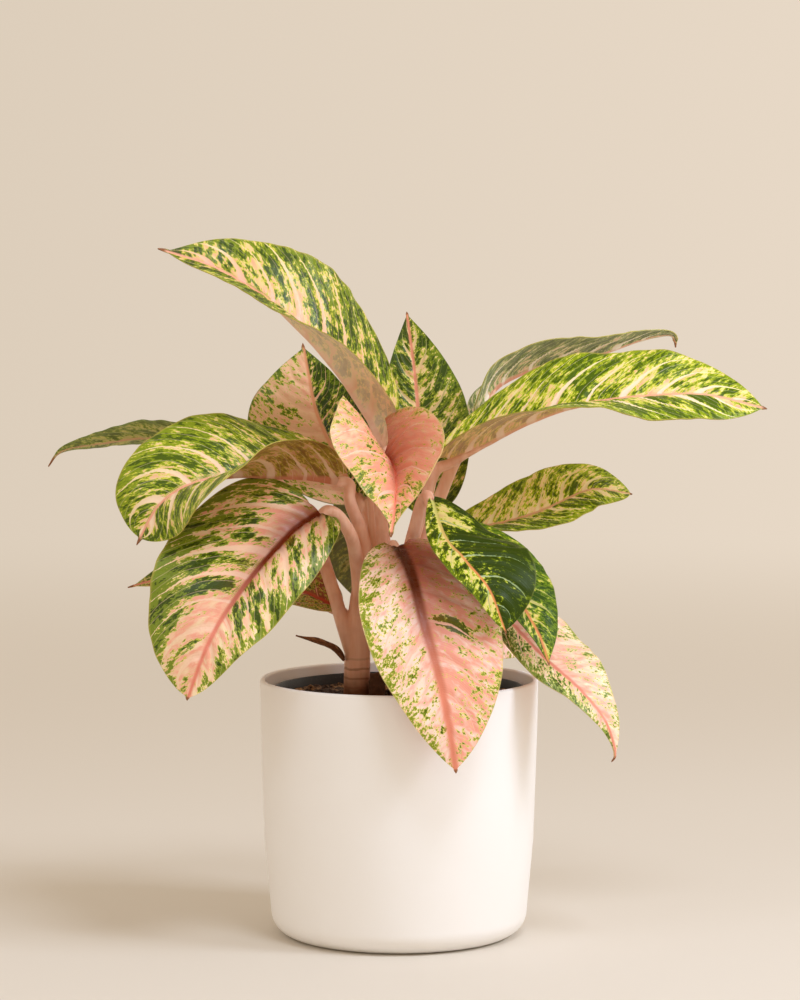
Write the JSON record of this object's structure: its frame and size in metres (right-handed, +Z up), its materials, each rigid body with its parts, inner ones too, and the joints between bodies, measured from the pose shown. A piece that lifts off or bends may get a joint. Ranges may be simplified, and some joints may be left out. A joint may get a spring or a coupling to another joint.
{
  "type": "potted chinese evergreen",
  "caption": "Foliage house plant with broad pointed leaves mottled green, lime and salmon pink on pale pink stalks, in a nursery pot inside a plain matte white cover pot.",
  "frame": {"origin": "centre of the cover pot's flat underside", "axes": "+Z up, +X to the right and -Y towards the viewer, as the plant is seen from its front"},
  "size_m": [0.467, 0.2028, 0.451],
  "materials": {
    "cover_plastic": "matte",
    "nursery_plastic": "satin",
    "peat": "rough",
    "stalk": "satin",
    "dry_cane": "rough",
    "dry_leaf": "matte",
    "leaf_green": "satin",
    "leaf_lime": "satin",
    "leaf_pink": "satin",
    "leaf_shaded": "satin"
  },
  "bodies": {
    "root": {"cover_pot": "cover_plastic", "nursery_pot": "nursery_plastic", "soil": "peat", "shoot_left": "stalk", "shoot_middle": "stalk", "cane_stub": "dry_cane", "dry_leaf": "dry_leaf", "leaf_top_left": "leaf_lime", "leaf_crown_back": "leaf_green", "leaf_back_left": "leaf_shaded", "leaf_heart": "leaf_pink", "leaf_right_long": "leaf_lime", "leaf_right_back": "leaf_shaded", "leaf_right_middle": "leaf_lime", "leaf_left_upper": "leaf_lime", "leaf_left_front": "leaf_lime", "leaf_front_centre": "leaf_pink", "leaf_far_left": "leaf_shaded", "leaf_low_left": "leaf_shaded", "leaf_right_front": "leaf_green", "leaf_right_front_second": "leaf_green", "leaf_right_low": "leaf_pink", "leaf_right_low_second": "leaf_pink", "leaf_back_low": "leaf_shaded"}
  },
  "joints": []
}
